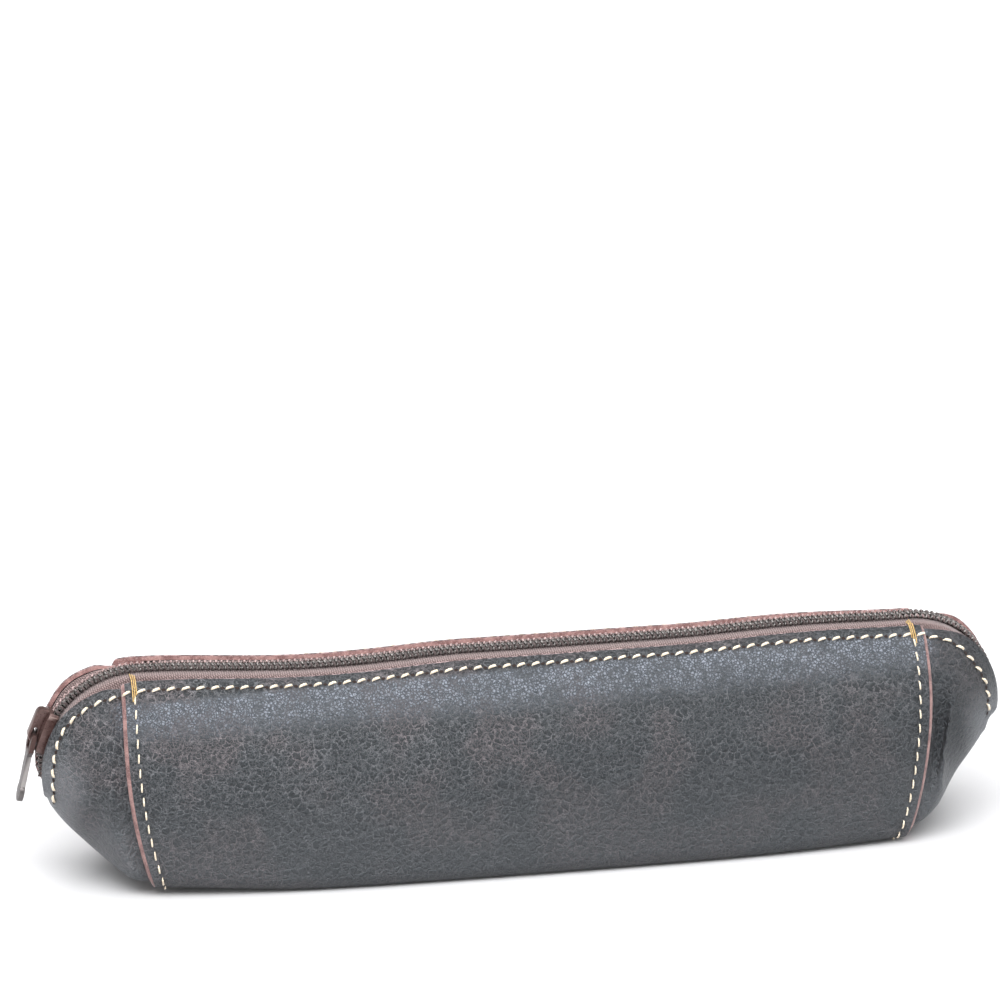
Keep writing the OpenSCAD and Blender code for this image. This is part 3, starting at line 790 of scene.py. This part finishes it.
def beside(u, y, n):
    """Points at distances u along the zip, y across it and n over it."""
    p = zip_at(u) + np.asarray(n)[..., None] * zip_out(u)
    return points(p[..., 0], y, p[..., 1])


def tape_face(m, side, below):
    """The tape's upper or lower face: across the flat strip, then down under the leather."""
    j = 0.0 if side < 0 else float(last_step)
    knots = [beside(rib_u(m), side * y, tape_top - below) for y in (tape_slit / 2, tape_flat)]
    knots += [layer(m, k, tape_depth(m) + below) for k in (j, j - side)]
    share = np.linspace(0, 1, 7)[:-1, None]
    strips = [mix(a[:, None], b[:, None], share) for a, b in zip(knots, knots[1:])]
    face = np.concatenate(strips + [knots[3][:, None]], 1)
    for _ in range(3):
        face[:, 1:-1] = (face[:, :-2] + 2 * face[:, 1:-1] + face[:, 2:]) / 4
    return face


# %% Tapes
tape_left, tape_right = (rib_at(open_half(side), side) for side in (-1, 1))
tape_m = np.concatenate([np.linspace(-tape_left, -1, 50), np.arange(-1, 1, 1 / 90),
                         np.linspace(1, tape_right, 50)])
tape_m = np.unique(tape_m.round(5))
for side, node in ((-1, "zip_tape_front"), (1, "zip_tape_back")):
    top, low = tape_face(tape_m, side, 0), tape_face(tape_m, side, tape_t)
    if side < 0:
        top, low = top[:, ::-1], low[:, ::-1]
    rows, width = top.shape[:2]
    ring = border(rows, width)
    count = rows * width
    nxt = np.roll(ring, -1)
    faces = np.concatenate([grid_faces(rows, width, flip=True), grid_faces(rows, width, count),
                            np.stack([ring, ring + count, nxt + count, nxt], -1)])
    places = np.concatenate([top.reshape(-1, 3), low.reshape(-1, 3)])
    piece = make_piece(node + "_weave", places, faces, [weave], slot="tape")
    flat = np.tile(points(rib_u(tape_m)[:, None], runs(top)).reshape(-1, 2), (2, 1)) * 0.001
    corner = np.empty(len(piece.data.loops), np.int32)
    piece.data.loops.foreach_get("vertex_index", corner)
    piece.data.uv_layers.new(name="cloth").data.foreach_set("uv", flat[corner].ravel())
    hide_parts(node)

# %% [markdown]
# ## The coils
# Each row of the chain is one filament wound into a flattened screw, with a blunt head on
# every turn that pushes in between two turns of the other row. The filament is a tube
# swept along that screw. At the slider the two rows part round its post, so each turn is
# shifted aside by the same rule as in the solids. Sewing yarn of the tape's colour crosses
# every turn on its outer half and holds it down. From the front it shows as a row of small
# pale arches behind the chain.

# %% Filament material
filament, tree, shader = blank_material("coil_filament")
dust = noise(tree, object_millimetres(tree), 1.7, 3.0)
colour = blend_colours(tree, ramp(tree, dust, 0.4, 0.7), (0.035, 0.029, 0.028), (0.22, 0.20, 0.19))
feed(tree, shader, Base_Color=colour, Roughness=ramp(tree, dust, 0.35, 0.7, 0.16, 0.3),
     Coat_Weight=1.0, Coat_Roughness=0.08)

# %% Coils
coil_pitch, chain_w, turn_t, mesh_depth = 1.27, 4.0, 0.56, 0.4
slider_angle, slider_l = math.radians(67), 9.6
coil_split, part_from, post_from = 1.3, 2.3, 0.8
slider_u = -float(half_run(-1) + corner_r(-1) * slider_angle)
turn_count = math.floor(float(open_half(-1) + open_half(1) - 1.2) / coil_pitch)
coil_middle = float(open_half(1) - open_half(-1)) / 2


def coil_apart(u):
    """How far a turn stands aside where the slider leads it round its post."""
    past = slider_u - u
    led = ease((past + part_from) / (part_from + post_from))
    return coil_split * led * (1 - 0.4 * ease((past - slider_l / 2) / (slider_l / 2)))


def blunted(wave, power):
    """A wave that stays longer at its crests."""
    return np.sign(wave) * np.abs(wave) ** power


def directions(line):
    """Unit directions along a line, and two across it, none of them near the fixed vector."""
    t = np.gradient(line, axis=0)
    t /= np.linalg.norm(t, axis=-1, keepdims=True)
    a = np.cross(t, [0.13, 0.97, 0.21])
    a /= np.linalg.norm(a, axis=-1, keepdims=True)
    return t, a, np.cross(t, a)


def tube_faces(steps, sides):
    """Quads round a tube."""
    i, k = np.meshgrid(np.arange(steps), np.arange(sides), indexing="ij")
    nk, low, high = (k + 1) % sides, i * sides, (i + 1) * sides
    return np.stack([low + k, low + nk, high + nk, high + k], -1).reshape(-1, 4)


def tube(line, radius, sides):
    """Points and faces of a tube along a line."""
    _, across, up = directions(line)
    a = np.linspace(0, 2 * np.pi, sides, endpoint=False)
    ring = np.cos(a)[None, :, None] * across[:, None] + np.sin(a)[None, :, None] * up[:, None]
    places = (line[:, None] + ring * np.asarray(radius).reshape(-1, 1, 1)).reshape(-1, 3)
    ends = [range(sides - 1, -1, -1), range(len(places) - sides, len(places))]
    return places, [*tube_faces(len(line) - 1, sides), *ends]


def joined(parts):
    """Points and faces of many small meshes as one."""
    places, faces, start = [], [], 0
    for more, some_faces in parts:
        faces += [[start + i for i in face] for face in some_faces]
        places.append(more)
        start += len(more)
    return np.concatenate(places), faces


filament_r, steps_a_turn = turn_t / 2, 16
for side, node, shift in ((-1, "zip_coil_front", 0.0), (1, "zip_coil_back", 0.5)):
    turn = np.arange(0, turn_count * steps_a_turn + 1) / steps_a_turn
    phase = 2 * np.pi * turn
    u = coil_middle + (turn - turn_count / 2 + shift - 0.25) * coil_pitch
    head, heel = -mesh_depth + filament_r, chain_w / 2 - filament_r
    y = mix(head, heel, 0.5 + 0.5 * blunted(np.cos(phase), 0.7)) + coil_apart(u)
    n = (coil_h / 2 - filament_r) * blunted(np.sin(phase), 0.6)
    places, faces = tube(beside(u, side * y, n), filament_r, 8)
    piece = make_piece(node + "_filament", places, faces, [filament], slot="coil", sharp=60)
    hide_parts(node)
    print(node, turn_count, "turns")

# %% Yarn over the coils
yarn, tree, shader = blank_material("coil_yarn")
place = object_millimetres(tree)
x, y, _ = add(tree, "SeparateXYZ", _0=place).outputs
fluff = ramp(tree, noise(tree, place, 2.6, 3.0), 0.35, 0.68)
# Painted shade: the front row's yarn is darkened as if in the chain's shadow, less so towards the right
# end. All yarn also turns darker towards the right end, from x 86 to 96 mm.
painted_front_shade_dark_right = times(tree, ramp(tree, y, -0.8, -0.2, 1.0, 0.0), ramp(tree, x, 84.0, 98.0, 0.85, 0.0))
painted_front_shade_dark_right = maths(tree, "MAXIMUM", painted_front_shade_dark_right, ramp(tree, x, 86.0, 96.0, 0.0, 0.7))
spun = blend_colours(tree, fluff, (0.12, 0.065, 0.062), (0.48, 0.35, 0.34))
spun = blend_colours(tree, painted_front_shade_dark_right, spun, (0.012, 0.008, 0.008))
feed(tree, shader, Base_Color=spun, Roughness=0.85, Sheen_Weight=0.2)

yarn_r, yarn_sides, yarn_slope, yarn_over = 0.27, 7, 0.35, 0.25
share = np.linspace(0, 1, 9)
for side, name, shift, nearest in ((-1, "coil_yarn_front", 0.0, 1.35), (1, "coil_yarn_back", 0.5, 0.6)):
    loops = []
    for i in range(turn_count):
        u = coil_middle + (i + shift - turn_count / 2 + yarn_slope * (share - 0.5)) * coil_pitch
        y = mix(nearest, chain_w / 2 + yarn_over, share) + coil_apart(u)
        crown = 0.62 - 0.3 * ease((u - 80) / 8)
        n = crown * np.cos(share**2.2 * 2.0) - 0.12 * (1 - share) ** 3
        radius = yarn_r * np.sqrt(1 - 0.75 * (2 * share - 1) ** 4)
        loops.append(tube(beside(u, side * y, n), radius, yarn_sides))
    make_piece(name, *joined(loops), [yarn], sharp=80)

# %% [markdown]
# ## Thread
# The topstitching is a bonded thread of cream colour, laid in short slanting stitches.
# Each stitch is a small twisted tube that rises out of one needle hole and dives into the
# next. Real tubes catch the light and cast the tiny shadows that a painted dash can't.

# %% Thread material
def thread_material(name, pale, deep):
    """Twisted thread, darker between its strands."""
    material, tree, shader = blank_material(name)
    strands = noise(tree, object_millimetres(tree), 3.0, 3.0)
    colour = blend_colours(tree, ramp(tree, strands, 0.35, 0.7), deep, pale)
    bump = add(tree, "Bump", Strength=0.5, Distance=0.00008, Height=strands)
    feed(tree, shader, Base_Color=colour, Roughness=0.55, Normal=bump.outputs[0], Sheen_Weight=0.2)
    return material


cream_thread = thread_material("cream_thread", (0.86, 0.77, 0.62), (0.55, 0.45, 0.33))
yellow_thread = thread_material("yellow_thread", (0.62, 0.42, 0.15), (0.36, 0.22, 0.07))

# %% Stitches
thread_r, stitch_l, slant_angle, stitch_rise = 0.31, 2.1, math.radians(17), 0.34
thread_steps, thread_sides = 10, 10


def stitches(name, centres, along, out, length=stitch_l, radius=thread_r, slanting=slant_angle):
    """One piece that holds a row of stitches at given centres."""
    row = []
    s = np.linspace(-1, 1, thread_steps + 1)
    rise = stitch_rise * (np.sqrt(np.maximum(0, 1 - s**2)) - s**8) + 0.02
    turns = np.linspace(0, 2 * np.pi, thread_sides, endpoint=False)
    for c, t, n in zip(centres, along, out):
        b = np.cross(n, t)
        t2 = t * math.cos(slanting) + b * math.sin(slanting)
        b2 = np.cross(n, t2)
        line = c + s[:, None] * t2 * length / 2 + rise[:, None] * n
        twist = turns[None] - 5.5 * s[:, None]
        r = radius * (1 - 0.65 * s**4)[:, None] * (1 + 0.1 * np.cos(2 * twist))
        ring = r[..., None] * (np.cos(turns)[None, :, None] * b2 + np.sin(turns)[None, :, None] * n)
        row.append(((line[:, None] + ring).reshape(-1, 3), tube_faces(thread_steps, thread_sides)))
    return make_piece(name, *joined(row), [cream_thread], sharp=80)


def row_of(line_m, line_j, line_run, first, last, depth, shift=0.5):
    """Centres, directions along and outward of a row's stitches, or of its holes with shift 0."""
    low, high = math.ceil(first / stitch_pitch - shift), math.floor(last / stitch_pitch - shift)
    at = (np.arange(low, high + 1) + shift) * stitch_pitch
    (where_m, where_j), (ahead_m, ahead_j) = (
        (np.interp(a, line_run, line_m), np.interp(a, line_run, line_j)) for a in (at, at + 0.3))
    centre = layer(where_m, where_j, depth(where_m))
    ahead = layer(ahead_m, ahead_j, depth(ahead_m)) - centre
    ahead /= np.linalg.norm(ahead, axis=-1, keepdims=True)
    out = outward(where_m, where_j)
    ahead -= out * (ahead * out).sum(-1, keepdims=True)
    return centre, ahead / np.linalg.norm(ahead, axis=-1, keepdims=True), out


def row_depth(m):
    """The front row's middle stands proud of the strip, which the tape holds up."""
    return np.where(np.abs(m) > 1, end_depth(m), 0) - 0.45


def back_row_depth(m):
    """The back row lies in leather that isn't held up."""
    return row_depth(m) + 0.55


def seam_row_depth(m):
    return np.full(np.shape(m), 0.12)


# Painted shade: the needle holes and the thread's ends in them lie in shade, so dark ovals are laid
# over the leather there.
painted_hole_shade, tree, shader = blank_material("painted_hole_shade")
feed(tree, shader, Base_Color=(0.016, 0.008, 0.006, 1), Roughness=0.9)
hole_l, hole_w, hole_sides = 0.972, 0.72, 10


def hole_shade_ovals(name, centre, along, out):
    """Painted shade of a row's needle holes: small dark ovals laid on the leather's face."""
    a = np.linspace(0, 2 * np.pi, hole_sides, endpoint=False)[:, None]
    oval = hole_l * np.cos(a) * along[:, None] + hole_w * np.sin(a) * np.cross(out, along)[:, None]
    places = (centre[:, None] + oval / 2).reshape(-1, 3)
    return make_piece(name, places, np.arange(len(places)).reshape(-1, hole_sides), [painted_hole_shade])


for back, name in ((False, "topstitch_front"), (True, "topstitch_back")):
    row_j, run = zip_rows[back]
    row = row_m, row_j, run, run[0] + 1, run[-1] - 1, back_row_depth if back else row_depth
    stitches(name, *row_of(*row), slanting=-slant_angle if back else slant_angle)
    hole_shade_ovals(name + "_hole_shade", *row_of(*row, shift=0.0))
    print(name, "is", round(float(np.ptp(run)), 1), "mm long")

for side, name in ((-1, "seam_thread_left"), (1, "seam_thread_right")):
    seam_j = np.linspace(0, last_step, 900)
    seam_m = np.full(len(seam_j), side * seam_row_m)
    run = runs(skin(seam_m, seam_j))
    row = row_of(seam_m, seam_j, run, row_inset + 1.2, run[-1] - row_inset - 1.2, seam_row_depth)
    stitches(name, *row, length=2.3, radius=0.2, slanting=side * slant_angle / 3)
    print(name, len(row[0]), "stitches")

# %% Back-tack threads
tack_r, tack_rise, tack_sides = 0.13, 0.12, 7
tack_steps = np.array([1.25, 1.0, 0.6, 0.25, 0.02])
tack_depth = np.array([-0.2, -0.45, -0.5, -0.4, -0.25])
for side, name in ((-1, "back_tack_left"), (1, "back_tack_right")):
    threads = []
    for k, offset in enumerate((-0.4, 0.0, 0.45)):
        m = side * (seam_row_m + offset / seam_top)
        j = at_inset(np.array([m]), 1.0, False)[0]
        over = layer(np.full(len(tack_steps), m), tack_steps * j * (3.0 + k * 0.5), tack_depth)
        on_tape = [beside(rib_u(m), -y, tape_top + tack_rise) for y in (4.4, 3.5 - 0.6 * k)]
        line = np.concatenate([over, np.reshape(on_tape, (2, 3))])
        knots = np.arange(len(line))
        fine = np.linspace(0, knots[-1], 25)
        line = np.stack([np.interp(fine, knots, line[:, a]) for a in range(3)], -1)
        threads.append(tube(line, tack_r, tack_sides))
    make_piece(name, *joined(threads), [yellow_thread], sharp=80)

# %% [markdown]
# ## Metal
# The slider is cast and lacquered dark brown, and the lacquer has worn thin on its edges.
# The tab is grey metal, dulled by handling, and its head still has its lacquer. Casting
# leaves no sharp edge, so each metal piece is a bevelled copy of its solid: the copy is
# cleaned of its triangles first, because a bevel needs whole faces.


# %% Metal materials
def metal_material(name, face, worn, metallic, rough, lacquered_above=None):
    """Worn metal, which may still carry brown lacquer above a height in millimetres."""
    material, tree, shader = blank_material(name)
    place = object_millimetres(tree)
    scratches = noise(tree, place, 1.6, 6.0, 0.7)
    edge = add(tree, "NewGeometry").outputs["Pointiness"]
    wear = maths(tree, "ADD", ramp(tree, edge, 0.52, 0.62), ramp(tree, scratches, 0.55, 0.8, 0.0, 0.6))
    colour = blend_colours(tree, wear, face, worn)
    if lacquered_above:
        height = add(tree, "SeparateXYZ", _0=place).outputs[2]
        coated = ramp(tree, height, lacquered_above - 0.6, lacquered_above + 0.6)
        colour = blend_colours(tree, coated, colour, (0.09, 0.055, 0.05))
    bump = add(tree, "Bump", Strength=0.25, Distance=0.0001, Height=scratches)
    feed(tree, shader, Base_Color=colour, Roughness=ramp(tree, scratches, 0.3, 0.7, rough, rough + 0.2),
         Metallic=metallic, Normal=bump.outputs[0])
    return material


lacquer = metal_material("slider_lacquer", (0.075, 0.042, 0.038), (0.30, 0.22, 0.20), 0.5, 0.24)
grey_metal = metal_material("tab_metal", (0.13, 0.12, 0.118), (0.36, 0.34, 0.33), 0.85, 0.34,
                            lacquered_above=31.4)


# %% Slider, cap and tab
tab_bar, stem_from, stem_blend, longer = (-110.838, 0, 35.395), 5.5, 4, 1.8


def draw_out(mesh):
    """Lengthens the tab's stem, away from its bar, to its length in the photograph."""
    away = np.array([v.co[:] for v in mesh.vertices]) * 1000 - tab_bar
    down = away[np.argmax(np.linalg.norm(away, axis=1))] * [1, 0, 1]
    down /= np.linalg.norm(down)
    more = 0.001 * longer * ease((away @ down - stem_from) / stem_blend)
    for v, step in zip(mesh.vertices, more):
        v.co += Vector(down * step)


def cast_piece(node, material, body, bevel, reshape=None):
    """A bevelled copy of a metal solid, in millimetres of bevel."""
    shape = bmesh.new()
    shape.from_mesh(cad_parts[node].data)
    bmesh.ops.remove_doubles(shape, verts=shape.verts, dist=2e-6)
    bmesh.ops.dissolve_limit(shape, angle_limit=math.radians(2), verts=shape.verts, edges=shape.edges)
    mesh = bpy.data.meshes.new(node + "_cast")
    shape.to_mesh(mesh)
    shape.free()
    mesh.materials.clear()
    mesh.materials.append(material)
    mesh.shade_smooth()
    if reshape:
        reshape(mesh)
    piece = new_object(node + "_cast", mesh)
    rounding = piece.modifiers.new("rounding", "BEVEL")
    rounding.width, rounding.segments = bevel * 0.001, 3
    rounding.limit_method, rounding.angle_limit = "ANGLE", math.radians(30)
    rounding.harden_normals = True
    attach(piece, body)
    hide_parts(node)
    print(node, len(mesh.polygons), "faces before its bevel")
    return piece


cast_piece("slider_body", lacquer, "slider", 0.16)
cast_piece("slider_cap", lacquer, "slider", 0.3)
cast_piece("pull_tab", grey_metal, "tab", 0.18, draw_out)

# %% [markdown]
# ## Floor and light
# The case stands on a white sweep under a large soft light. A second one hangs on the
# camera's side and lights the band under the zip, and weak ones at both sides and at the
# front reach the low walls. The room is brighter on the camera's side than behind the
# case. The floor is plain white paper, which glows far from the case for the camera, and
# what the camera sees of the world is white too, so that the far floor and the background
# run into each other.

# %% Floor
paper, tree, shader = blank_material("white_paper")
camera_ray = add(tree, "LightPath").outputs["Is Camera Ray"]
on_floor = object_millimetres(tree)
white = blend_colours(tree, noise(tree, on_floor, 0.02), (0.575, 0.575, 0.585), (0.605, 0.605, 0.615))
feed(tree, shader, Base_Color=white, Roughness=0.9, Specular_IOR_Level=0.1)
away = add(tree, "VectorMath", {"operation": "LENGTH"}, _0=on_floor).outputs["Value"]
shown = times(tree, camera_ray, ramp(tree, away, 95.0, 320.0, 0.0, 0.9))
glow = add(tree, "Emission", Color=(1, 1, 1, 1), Strength=shown)
lit = add(tree, "AddShader", _0=shader.outputs[0], _1=glow.outputs[0])
feed(tree, tree.nodes["Material Output"], Surface=lit.outputs[0])

mesh = bpy.data.meshes.new("floor")
mesh.from_pydata([(-4, -3, 0), (4, -3, 0), (4, 5, 0), (-4, 5, 0)], [], [(0, 1, 2, 3)])
mesh.materials.append(paper)
floor = new_object("floor", mesh)

# %% Light
world = bpy.data.worlds.new("studio")
world.use_nodes = True
scene.world = world
tree = world.node_tree
tree.nodes.clear()
seen = add(tree, "LightPath").outputs["Is Camera Ray"]
direction = add(tree, "TexCoord").outputs["Generated"]
to_back = add(tree, "SeparateXYZ", _0=direction).outputs[1]
room = ramp(tree, to_back, -0.6, 0.7, 0.3, 0.2)
strength = add(tree, "MapRange", _0=seen, _3=room, _4=1.0).outputs[0]
sky = add(tree, "Background", Color=(1, 1, 1, 1), Strength=strength)
add(tree, "OutputWorld", Surface=sky.outputs[0])


def soft_light(name, place, aim, size, power):
    """A flat lamp that faces a point."""
    lamp = bpy.data.lights.new(name, "AREA")
    lamp.shape, lamp.size, lamp.size_y, lamp.energy = "RECTANGLE", size[0], size[1], power
    holder = new_object(name, lamp)
    holder.location = place
    holder.rotation_euler = (Vector(aim) - Vector(place)).to_track_quat("-Z", "Y").to_euler()


soft_light("top_light", (-0.1, 0.15, 1.3), (0, 0, 0), (2.0, 1.3), 26)
soft_light("band_light", (-0.1, -0.75, 1.15), (0, 0, 0), (2.0, 0.75), 30)
soft_light("right_light", (1.3, -0.5, 0.35), (0.05, 0, 0.02), (0.9, 0.6), 7)
soft_light("left_light", (-1.3, -0.4, 0.3), (-0.05, 0, 0.02), (0.9, 0.6), 4)
soft_light("front_light", (-0.9, -1.6, 0.5), (0, 0, 0.02), (1.0, 1.0), 4)
